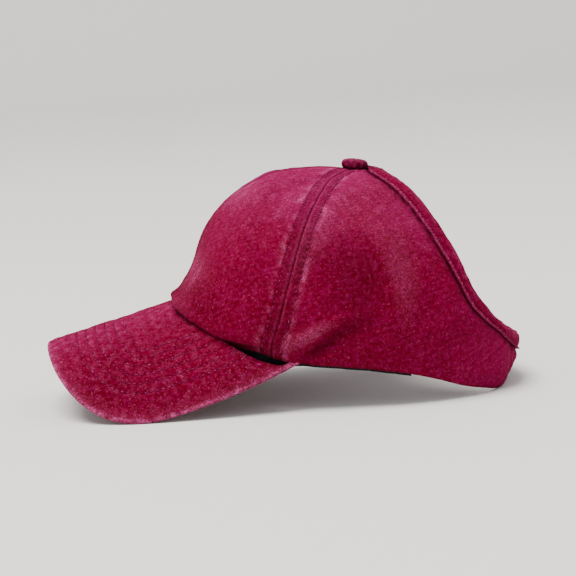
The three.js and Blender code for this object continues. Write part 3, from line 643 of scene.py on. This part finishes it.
def sidePanel(name, sign):
    outerPlace, edgePlace, bound = panelColumns()
    s = np.linspace(0, 1, opening["across"])[None, :, None]
    share = 0.4 * s + 0.6 * s * s
    angle, up = crownPlace(mix(outerPlace[:, None], edgePlace[:, None], share))
    plain = crownPoint(angle, up)
    pieces = np.linalg.norm(np.diff(plain, axis=1), axis=-1)
    run = np.concatenate([np.zeros((len(plain), 1)), np.cumsum(pieces, axis=1)], axis=1)
    fromEdge = run[:, -1:] - run
    dressed = dressCloth(sign * angle, up, fromEdge, bound[:, None])
    side = dressed["outer"][..., 1]
    dressed["outer"][..., 1] = -sign * np.maximum(-sign * side, 0)
    return panelPiece(name, dressed, sign)


sidePanel("side_panel_left", 1)
sidePanel("side_panel_right", -1)
print("side panels made")

binding = {
    "wall": 0.9, "lift": 0.2, "slack": 0.35, "ridge": 0.45, "ridgeIn": 0.7, "dipIn": 1.9, "puff": 0.4,
    "fold": 0.9, "beadPitch": 1.8, "follow": 0.6, "followMost": 1.2,
}


def placeFromEdge(outerPlace, edgePlace, distance):
    # The place so many millimetres from the opening's edge, on its column
    step = 0.02
    near = crownPoint(*crownPlace(mix(edgePlace, outerPlace, step)))
    perStep = np.linalg.norm(near - crownPoint(*crownPlace(edgePlace)), axis=-1)
    share = (distance * step) / perStep[:, None]
    return crownPlace(mix(edgePlace[:, None], outerPlace[:, None], share[..., None]))


def bindingOutline(bound):
    # Distance from the edge and height over the cloth: strip with its ridge, round fold, and inside strip
    width = bound[:, None]
    run = (np.linspace(0, 1, 30) ** 1.3)[None, :]
    outsideFrom = width * (1 - run)
    ridge = binding["ridge"] * bell(width * run - binding["ridgeIn"], 0.55)
    dip = 0.3 * bell(width * run - binding["dipIn"], 0.6)
    puffed = np.clip((width * run - binding["dipIn"]) / (width - binding["dipIn"]), 0, 1)
    puff = binding["puff"] * np.sin(np.pi * puffed)
    wall = binding["wall"] * smoothStep(0, 0.5, width * run + 0.2)
    outsideAbove = binding["lift"] + wall + ridge - dip + puff
    under = crown["wall"] + binding["slack"]
    top, low = binding["lift"] + binding["wall"], -under - binding["wall"]
    turn = np.linspace(0, np.pi, 12)[None, 1:-1]
    ones = np.ones_like(width)
    foldFrom = -binding["fold"] * np.sin(turn) * ones
    foldAbove = (mix(top, low, 0.5) + (top - low) / 2 * np.cos(turn)) * ones
    back = np.linspace(0, 1, 12)[None, :]
    insideFrom, insideAbove = width * back, low * ones + 0 * back
    hidden = np.array([(1, -under), (0.5, -under), (0, -under), (0, 0.2), (0.5, 0.2), (1, 0.2)])
    hiddenFrom = width * hidden[None, :, 0] - 0.3 * (hidden[None, :, 0] == 0)
    hiddenAbove = ones * hidden[None, :, 1]
    away = np.concatenate([outsideFrom, foldFrom, insideFrom, hiddenFrom], axis=1)
    above = np.concatenate([outsideAbove, foldAbove, insideAbove, hiddenAbove], axis=1)
    thin = mix(0.45, 1.0, smoothStep(4.0, opening["width"], width))
    return away, np.where(above > 0.25, 0.25 + (above - 0.25) * thin, above)


def bindingFollow(dressed):
    # The binding is stiffer than the cloth under it, so it takes up only a share of its relief
    return np.clip(dressed["relief"], -binding["followMost"], binding["followMost"]) * binding["follow"]


def bindingPiece():
    # The outline carried round the opening's edge, the left half and then the right
    outerPlace, edgePlace, bound = panelColumns()
    away, above = bindingOutline(bound)
    angle, up = placeFromEdge(outerPlace, edgePlace, away)
    halves = []
    for sign in (1, -1):
        dressed = dressCloth(sign * angle, up)
        smooth = dressed["base"] + dressed["normal"] * bindingFollow(dressed)[..., None]
        wobble = 0.1 * cloud(dressed["base"], 7.0, 31)
        halves.append(smooth + dressed["normal"] * (above + wobble)[..., None])
    rings = np.concatenate([halves[0], halves[1][-2:0:-1]])
    fromSide = np.concatenate([away, away[-2:0:-1]])
    width = np.concatenate([bound, bound[-2:0:-1]])[:, None]
    middle = rings.mean(axis=1)
    along = np.concatenate([[0], np.cumsum(np.linalg.norm(np.diff(middle, axis=0), axis=1))])
    quads = ringQuads(len(rings), rings.shape[1], True)
    # The ridge is worn pale; the fold's edge is paler, partly wear and partly painted highlight; painted
    # shade in the dip beside the ridge and on the strip next to it
    ridgeWear = 0.5 * bell(fromSide - (width - binding["ridgeIn"]), 0.6)
    foldWearAndHighlight = 0.1 * smoothStep(4.5, 0.5, fromSide) * (1 + 0.5 * cloud(rings, 8.0, 33))
    shade = 0.35 * bell(fromSide - (width - binding["dipIn"]), 0.6)
    shade = shade + 0.14 * bell(fromSide - (width - 3.6), 1.6)
    uv = np.stack([along[:, None] + 0 * fromSide, fromSide], -1).reshape(-1, 2)
    wearAndHighlight = np.clip(ridgeWear + foldWearAndHighlight, 0, 1)
    values = {"wearAndHighlight": wearAndHighlight, "shade": np.clip(shade, 0, 1), "fade": np.full(shade.shape, 0.12)}
    name, points = "opening_binding", rings.reshape(-1, 3)
    return makePiece(name, points, quads, bindingTwill, name, values, uv)


bindingPiece()
print("binding made")


def brimEdge(share):
    # A squared oval from the middle of the front, then a gentle taper to the corner
    part = np.abs(share)
    n = brim["squareness"]
    turn = np.minimum(part / brim["turnShare"], 1) * np.pi / 2
    size = (np.cos(turn) ** n + np.sin(turn) ** n) ** (-1 / n)
    back = np.maximum(part - brim["turnShare"], 0) / (1 - brim["turnShare"])
    ahead = brim["shoulder"] + (brim["length"] - brim["shoulder"]) * size * np.cos(turn)
    ahead = ahead - (brim["shoulder"] + brim["cornerBack"]) * back
    around = brim["halfWidth"] * size * np.sin(turn) - brim["cornerInset"] * back ** 2
    return np.stack([ahead, np.sign(share) * around], -1)


brimBorder = brimEdge(np.linspace(-1, 1, 700))
borderRun = np.concatenate([[0], np.cumsum(np.linalg.norm(np.diff(brimBorder, axis=0), axis=1))])
brimCloth = {
    "rows": 6, "firstRow": 17.2, "rowPitch": 5.7, "channel": 0.4, "channelWidth": 0.75, "pucker": 0.14,
    "stitchPitch": 3.3, "around": 380, "across": 104, "blunt": 0.08, "crestAt": -8.0, "crestWidth": 26.0,
}


def toBorder(places):
    # Distance in the flat plate to its free edge, and how far along that edge
    near, run = [], []
    for part in np.array_split(places.reshape(-1, 2), 24):
        distances = np.linalg.norm(part[:, None] - brimBorder, axis=-1)
        near.append(distances.min(1))
        run.append(borderRun[distances.argmin(1)])
    shape = places.shape[:-1]
    return np.concatenate(near).reshape(shape), np.concatenate(run).reshape(shape)


def rowWave(away):
    # One on each stitch row, nought between: a bell round the nearest of the even rows
    row = np.clip(np.round((away - brimCloth["firstRow"]) / brimCloth["rowPitch"]), 0, brimCloth["rows"] - 1)
    return bell(away - brimCloth["firstRow"] - row * brimCloth["rowPitch"], brimCloth["channelWidth"]), row


def brimRelief(places, away, along):
    # A channel on each row, small puckers beside it at the stitches' pitch, and soft lumps
    onRow, row = rowWave(away)
    lastRow = brimCloth["firstRow"] + brimCloth["rows"] * brimCloth["rowPitch"]
    between = (away > brimCloth["firstRow"] - 3) & (away < lastRow)
    ripple = np.cos(2 * np.pi * (along / brimCloth["stitchPitch"] + 0.37 * row))
    ripples = brimCloth["pucker"] * ripple * bell(onRow - 0.5, 0.5) * between
    lumps = 0.12 * cloud(places, 8.0, 41) + 0.2 * cloud(places, 30.0, 42)
    return -brimCloth["channel"] * onRow + ripples + lumps


def brimPiece():
    # Rows from under the crown's rim to the free edge, bent round the plate, rounded off at the edge
    share = np.linspace(-1, 1, brimCloth["around"])[:, None]
    corner = brimEdge(np.array([1.0]))
    cornerPoint = brimPoint(corner[:, 0], corner[:, 1], 0.0)[0]
    cornerShare = (crown["axis"] - cornerPoint[0]) / crown["front"]
    cornerAngle = np.arccos(cornerShare ** (crown["frontSquareness"] / 2))
    foot = rimPoint(-share * cornerAngle)
    reach = brim["under"]
    startX = crown["axis"] + (foot[..., 0] - crown["axis"]) * reach
    start = np.stack(brimPlace(startX, foot[..., 1] * reach), -1)
    turned, cornerTurned = np.degrees(np.abs(share * cornerAngle)), np.degrees(cornerAngle)
    gap = brim["gap"] * smoothStep(brim["gapFrom"], brim["gapFull"], turned)
    gap = gap * smoothStep(cornerTurned, cornerTurned - brim["gapClose"], turned)
    start[..., 1] = start[..., 1] + np.sign(share) * gap
    across = 1 - (1 - np.linspace(0, 1, brimCloth["across"])[None, :, None]) ** 1.35
    places = mix(start, brimEdge(share), across)
    away, along = toBorder(places)
    radius = brim["wall"] / 2
    inset = np.clip(radius - away, 0, radius)
    arc = np.sqrt(np.clip(radius ** 2 - inset ** 2, 0, None))
    roundOff = radius - brimCloth["blunt"] - arc * (1 - brimCloth["blunt"] / radius)
    relief = brimRelief(places, away, along) * smoothStep(0, 2.5, away)
    top = brimPoint(places[..., 0], places[..., 1], relief - roundOff)
    under = brimPoint(places[..., 0], places[..., 1], 0.5 * relief - brim["wall"] + roundOff)
    points, quads = shell(top, under)
    quads = quads[:, ::-1]
    onRow, _ = rowWave(away)
    rough = cloud(places, 7.0, 43)
    # The crest faces the light: painted light there and painted shade away from it; painted shade in the row
    # channels and where the plate runs under the crown's rim; the free edge and specks by the rows are worn
    # pale
    crest = bell(places[..., 1] - brimCloth["crestAt"], brimCloth["crestWidth"])
    wearAndHighlight = (0.42 + 0.15 * rough) * bell(away - 0.6, 1.5) + 0.06 * smoothStep(10, 2, away)
    wearAndHighlight = wearAndHighlight + (0.04 + 0.06 * rough) * crest + 0.12 * np.clip(rough, 0, 2) * bell(onRow - 0.35, 0.3)
    shade = 0.16 * onRow + 0.3 * smoothStep(0.1, 0.0, across[..., 0]) + 0.08 * (1 - crest)
    lining = np.zeros(away.size)
    # The underside: a worn pale edge, and painted shade, 0.1, all over
    values = {
        "wearAndHighlight": np.concatenate([np.clip(wearAndHighlight, 0, 1).ravel(), 0.5 * bell(away - 0.6, 2.2).ravel()]),
        "shade": np.concatenate([np.clip(shade, 0, 1).ravel(), lining + 0.1]),
        "fade": np.concatenate([0.5 * crest.ravel(), lining]),
    }
    uv = np.concatenate([places.reshape(-1, 2)] * 2)
    return makePiece("brim", points, quads, brimTwill, "brim", values, uv)


brimPiece()
print("brim made")

band = {
    "height": 27.0, "drop": 2.0, "wall": 1.2, "away": 2.4, "end": 105.0, "along": 260, "up": 24,
    "behindGap": 5.0, "gapAngle": 61.0, "gapSpread": 8.0,
}


def sweatbandPiece():
    # A strip inside the rim: so far under the cloth, bulging a little between its sewn edges
    angle = np.radians(np.linspace(-band["end"], band["end"], band["along"]))[:, None]
    share = np.linspace(0, 1, band["up"])[None, :]
    rise = crown["height"] - rimPoint(angle)[..., 2]
    behindGap = bell(np.degrees(np.abs(angle)) - band["gapAngle"], band["gapSpread"])
    drop = band["drop"] + band["behindGap"] * behindGap
    up = (share * (band["height"] - band["drop"] + drop) - drop) / rise
    angle, up = np.broadcast_arrays(angle, up)
    base = crownPoint(angle, up)
    normal, _, _ = crownAxes(angle, up)
    bulge = 0.5 * np.sin(np.pi * share) + 0.12 * cloud(base, 11.0, 51)
    tuck = 0.45 * bell(share * band["height"], 1.0)
    inwards = np.minimum(dressCloth(angle, np.maximum(up, 0))["relief"], 0)
    bulge = np.clip(bulge, 0, None)
    outer = base + normal * (inwards - band["away"] - bulge * 0.4 - tuck)[..., None]
    inner = base + normal * (inwards - band["away"] - band["wall"] - bulge + tuck)[..., None]
    points, quads = shell(outer, inner)
    uv = np.stack([np.degrees(angle) * 1.3, up * 120], -1).reshape(-1, 2)
    values = {key: np.zeros(len(points)) for key in ("wearAndHighlight", "shade", "fade")}
    name, uv = "sweatband", np.concatenate([uv, uv])
    return makePiece(name, points, quads, blackTwill, name, values, uv)


sweatbandPiece()
print("sweatband made")


def buttonPiece():
    # Half profile turned about the tilted axis; pleats of the gathered cloth wave the lower edge
    low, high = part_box("button")
    middle = (low[0] + high[0]) / 2 * 1000 - rest["shift"][0]
    top = high[2] * 1000 - rest["shift"][2]
    c, s = np.cos(np.radians(rest["turn"])), np.sin(np.radians(rest["turn"]))
    topPlace = np.array([middle * c - top * s, 0, top * c + middle * s])
    profile = np.array([
        (0.0, -1.6), (2.0, -1.6), (4.6, -1.2), (6.2, -0.7), (7.1, 0.1), (7.55, 1.1), (7.6, 2.2),
        (7.25, 3.3), (6.4, 4.15), (5.2, 4.65), (3.6, 4.95), (1.8, 5.12), (0.0, 5.2),
    ])
    run = np.linspace(0, len(profile) - 1, 60)
    steps = np.arange(len(profile), dtype=float)
    reach = np.maximum(smoothThrough(steps, profile[:, 0], run), 0)
    up = smoothThrough(steps, profile[:, 1], run)
    turn = np.linspace(0, 2 * np.pi, button["sides"], endpoint=False)[:, None]
    pleat = np.cos(button["pleats"] * turn + 1.6 * np.sin(2 * turn + 0.4)) * bell(up - 0.2, 1.6)
    flat = np.stack([np.cos(turn) * reach, np.sin(turn) * reach, up + 0 * turn], -1)
    rough = cloud(flat, 4.0, 61)
    out = reach + button["pleatDepth"] * pleat * (reach > 3) + button["lumps"] * rough * (reach > 1.5)
    rise = up + button["lumps"] * rough * (reach > 0.5)
    x, y = out * np.cos(turn), out * np.sin(turn)
    c, s = np.cos(np.radians(button["tilt"])), np.sin(np.radians(button["tilt"]))
    placed = np.stack([x * c + rise * s, y, rise * c - x * s], -1)
    placed = placed + topPlace - button["height"] * np.array([s, 0, c])
    count, size = placed.shape[:2]
    here = np.arange(count)[:, None] * size + np.arange(size - 1)
    there = (np.arange(count)[:, None] + 1) % count * size + np.arange(size - 1)
    quads = np.stack([here, there, there + 1, here + 1], -1).reshape(-1, 4)
    # Painted highlight on the top edge, with wear at random; painted shade round the base
    wearAndHighlight = 0.22 * smoothStep(3.4, 4.8, up) + 0.1 * np.clip(rough, 0, 2)
    shade = 0.75 * smoothStep(1.2, -0.3, flat[..., 2])
    values = {"wearAndHighlight": np.clip(wearAndHighlight, 0, 1), "shade": shade, "fade": np.full(shade.shape, 0.1)}
    points, uv = placed.reshape(-1, 3), flat[..., :2].reshape(-1, 2)
    return makePiece("button", points, quads, buttonTwill, "button", values, uv)


buttonPiece()
print("button made")


thread = {"rings": 5, "sides": 6, "seamPitch": 2.9, "frontSunk": 0.45}


def stitchesPiece(name, centres, ways, normals, length, radius, lift=0.1, rise=0.25, seed=1):
    # Each stitch is a short thread arched over the cloth: rings round its run, closed by a point at each end
    centres, ways, normals = (np.concatenate(rows) for rows in (centres, ways, normals))
    rings, sides = thread["rings"], thread["sides"]
    draw = np.random.default_rng(seed)
    ways = unit(ways)
    side = unit(np.cross(normals, ways))
    run = np.linspace(-1, 1, rings + 2)
    size = radius * np.sqrt(np.clip(1 - run ** 2 * 0.98, 0, 1)) ** 0.7
    arch = lift + rise * (1 - run ** 2) - 0.35 * radius
    turn = np.linspace(0, 2 * np.pi, sides, endpoint=False)
    spine = centres[:, None] + ways[:, None] * (run * length / 2)[None, :, None]
    spine = spine + normals[:, None] * arch[None, :, None]
    across = np.cos(turn)[None, None, :, None] * side[:, None, None]
    across = across + np.sin(turn)[None, None, :, None] * normals[:, None, None]
    body = spine[:, 1:-1, None] + size[None, 1:-1, None, None] * across
    ends = np.stack([spine[:, 0], spine[:, -1]], axis=1)
    points = np.concatenate([body.reshape(len(centres), -1, 3), ends], axis=1)
    first, last = rings * sides, rings * sides + 1
    j = np.arange(sides)
    k = (j + 1) % sides
    far = (rings - 1) * sides
    faces = [np.stack([first + 0 * j, k, j], -1), np.stack([last + 0 * j, far + j, far + k], -1)]
    for ring in range(rings - 1):
        a, b = ring * sides, (ring + 1) * sides
        faces += [np.stack([a + j, a + k, b + k], -1), np.stack([a + j, b + k, b + j], -1)]
    template = np.concatenate(faces)
    total = rings * sides + 2
    triangles = (template[None] + total * np.arange(len(centres))[:, None, None]).reshape(-1, 3)
    fade = draw.uniform(0, 1, (len(centres), 1)) ** 2
    along = np.concatenate([np.repeat(np.abs(run[1:-1]), sides), [1.0, 1.0]])[None, :]
    # Some stitches worn pale in the middle; painted shade at each end, where the thread dips into its needle
    # hole; some stitches darker at random
    wearAndHighlight = 0.45 * fade * (1 - along) + 0.05
    shade = 0.5 * smoothStep(0.45, 1.0, along) + 0.15 * (1 - fade)
    apart = np.repeat(np.arange(len(centres))[:, None] * 3.1, total, 1)
    uv = np.stack([apart, np.tile(along * length, (len(centres), 1))], -1).reshape(-1, 2)
    values = {"wearAndHighlight": wearAndHighlight, "shade": np.clip(shade, 0, 1), "fade": np.full(shade.shape, 0.5)}
    return makePiece(name, points.reshape(-1, 3), triangles, seamThread, None, values, uv)


def evenRun(points, pitch):
    # Fractional places along a line of points at an even pitch
    run = np.concatenate([[0], np.cumsum(np.linalg.norm(np.diff(points, axis=0), axis=1))])
    wanted = np.arange(pitch / 2, run[-1], pitch)
    return np.interp(wanted, run, np.arange(len(points)))


def pickAlong(values, places):
    # Values at fractional places of a list, mixed from its two neighbours
    low = np.clip(np.floor(places).astype(int), 0, len(values) - 2)
    share = (places - low)[(...,) + (None,) * (values.ndim - 1)]
    return mix(values[low], values[low + 1], share)


def seamStitches(name, sign):
    # Two rows beside the side seam and one beside the front seam, laid in their channels
    centres, ways, normals = [], [], []
    up = np.linspace(0.035, 0.965, 500)
    for beside in (-cloth["stitchAway"], cloth["stitchAway"], None):
        if beside is None:
            narrowing = smoothThrough(crownSections[:, 0], crownSections[:, 1], up)
            share = cloth["stitchAway"] / crown["halfWidth"] / narrowing
            angle = sign * np.arcsin(np.clip(share, 0, 0.9) ** (crown["frontSquareness"] / 2))
            dressed = dressCloth(angle, up)
            keep = (up < 0.93) & (up > 0.06)
        else:
            _, perRadian, _ = crownAxes(seamAngle(up), up)
            angle = sign * (seamAngle(up) + beside / perRadian)
            dressed = dressCloth(angle, up)
            keep = up < 0.95
        sunk = thread["frontSunk"] if beside is None else 0.0
        line = (dressed["outer"] - sunk * dressed["normal"])[keep]
        places = evenRun(line, thread["seamPitch"])
        centres.append(pickAlong(line, places))
        ways.append(pickAlong(np.gradient(line, axis=0), places))
        normals.append(unit(pickAlong(dressed["normal"][keep], places)))
    return stitchesPiece(name, centres, ways, normals, 2.2, 0.26, seed=sign + 5)


def brimStitches():
    # Rows parallel with the brim's edge: the border moved inwards, where it stays clear of the crown
    way = unit(np.gradient(brimBorder, axis=0))
    inward = np.stack([-way[:, 1], way[:, 0]], -1)
    if (inward[350] @ (np.array([20.0, 0.0]) - brimBorder[350])) < 0:
        inward = -inward
    centres, ways, normals = [], [], []
    for row in range(brimCloth["rows"]):
        away = brimCloth["firstRow"] + row * brimCloth["rowPitch"]
        line = brimBorder + inward * away
        places = evenRun(line, brimCloth["stitchPitch"])
        spots = pickAlong(line, places)
        gap, along = toBorder(spots)
        relief = brimRelief(spots, gap, along)
        point = brimPoint(spots[:, 0], spots[:, 1], relief)
        plan = np.abs((crown["axis"] - point[:, 0]) / crown["front"]) ** crown["frontSquareness"]
        plan = plan + np.abs(point[:, 1] / crown["halfWidth"]) ** crown["frontSquareness"]
        keep = (gap > away - 0.15) & (plan > 1.05)
        turn = spots[:, 1] / brim["bend"]
        normal = np.cos(turn)[:, None] * brimUp + np.sin(turn)[:, None] * np.array([0, 1, 0])
        step = pickAlong(way, places)
        ahead = step[:, :1] * brimAhead
        sideways = np.cos(turn)[:, None] * np.array([0, 1, 0]) - np.sin(turn)[:, None] * brimUp
        centres.append(point[keep])
        ways.append((ahead + step[:, 1:] * sideways)[keep])
        normals.append(normal[keep])
    return stitchesPiece("brim_stitches", centres, ways, normals, 2.5, 0.33, 0.16, seed=9)


def ridgeStitches():
    # Close beads along the binding's ridge, each leaning a little across it
    outerPlace, edgePlace, bound = panelColumns()
    angle, up = placeFromEdge(outerPlace, edgePlace, (bound - binding["ridgeIn"])[:, None])
    centres, ways, normals = [], [], []
    for sign in (1, -1):
        dressed = dressCloth(sign * angle[:, 0], up[:, 0])
        lift = bindingFollow(dressed) + binding["lift"] + binding["wall"] + binding["ridge"] - 0.1
        line = dressed["base"] + dressed["normal"] * lift[:, None]
        places = evenRun(line, binding["beadPitch"])
        centres.append(pickAlong(line, places))
        step = unit(pickAlong(np.gradient(line, axis=0), places))
        normal = unit(pickAlong(dressed["normal"], places))
        ways.append(step + 0.35 * np.cross(normal, step))
        normals.append(normal)
    name, slot = "binding_stitches", "binding_cotton"
    return stitchesPiece(name, centres, ways, normals, 1.6, 0.46, 0.08, 0.24, seed=12)


seamStitches("seam_stitches_left", 1)
seamStitches("seam_stitches_right", -1)
brimStitches()
ridgeStitches()
print("stitches made")

studio = {
    "floor": "#F4F3F2", "reach": 4.0, "curve": 0.6, "wall": 3.0,
    "keyPower": 215.0, "keySize": 2.4, "sky": 0.72,
}


def studioFloor():
    # A flat sheet that curves up behind: a level run, a quarter circle and a wall
    turn = np.linspace(0, np.pi / 2, 24)
    reach, radius = studio["reach"], studio["curve"]
    level = np.array([(-reach, 0.0), (reach - radius, 0.0)])
    curve = np.stack([reach - radius + radius * np.sin(turn), radius - radius * np.cos(turn)], -1)
    wall = np.array([(reach, studio["wall"])])
    line = np.concatenate([level, curve[1:], wall])
    points = [(x, float(y), float(z)) for x in (-reach, reach) for y, z in line]
    size = len(line)
    faces = [(j, size + j, size + j + 1, j + 1) for j in range(size - 1)]
    mesh = bpy.data.meshes.new("studio_floor")
    mesh.from_pydata(points, [], faces)
    mesh.polygons.foreach_set("use_smooth", [True] * len(faces))
    # Matt paper: even and nearly without a highlight
    material = bpy.data.materials.new("matt_white_paper")
    material.use_nodes = True
    shader = material.node_tree.nodes["Principled BSDF"]
    shader.inputs["Base Color"].default_value = linear(studio["floor"])
    shader.inputs["Roughness"].default_value = 0.95
    shader.inputs["Specular IOR Level"].default_value = 0.1
    mesh.materials.append(material)
    floor = bpy.data.objects.new("studio_floor", mesh)
    bpy.context.scene.collection.objects.link(floor)


def lookFrom(holder, place, target, up):
    # Its own axes: right, up, and back from the target, as cameras and lights look down their -Z
    back = (place - target).normalized()
    right = up.cross(back).normalized()
    turn = Matrix((right, back.cross(right), back)).transposed()
    holder.matrix_world = Matrix.Translation(place) @ turn.to_4x4()


def addLight(name, place, target, size, power, colour):
    light = bpy.data.lights.new(name, "AREA")
    light.shape = "DISK"
    light.size = size
    light.energy = power
    light.color = linear(colour)[:3]
    holder = bpy.data.objects.new(name, light)
    bpy.context.scene.collection.objects.link(holder)
    lookFrom(holder, Vector(place), Vector(target), Vector((0, 0, 1)))


studioFloor()
addLight("key_light", (-1.0, -0.8, 3.6), (0, 0, 0.06), studio["keySize"], studio["keyPower"], "#FFFAF6")
world = bpy.data.worlds.new("white_studio")
world.use_nodes = True
world.node_tree.nodes["Background"].inputs["Color"].default_value = (1, 1, 1, 1)
world.node_tree.nodes["Background"].inputs["Strength"].default_value = studio["sky"]
bpy.context.scene.world = world

view = {"target": (-32.775, 0.0, 48.3), "distance": 1300.0, "height": 7.5, "turn": -4.0, "lens": 141.3}
height, turn = np.radians(view["height"]), np.radians(view["turn"])
toCamera = np.array([np.sin(turn) * np.cos(height), -np.cos(turn) * np.cos(height), np.sin(height)])
lens = bpy.data.cameras.new("camera")
lens.lens = view["lens"]
lens.sensor_width = 36
camera = bpy.data.objects.new("camera", lens)
bpy.context.scene.collection.objects.link(camera)
target = Vector(settle(np.array(view["target"])))
cameraPlace = Vector(settle(np.array(view["target"]) + view["distance"] * toCamera))
lookFrom(camera, cameraPlace, target, settleVector((0, 0, 1)))
bpy.context.scene.camera = camera
print("studio made")
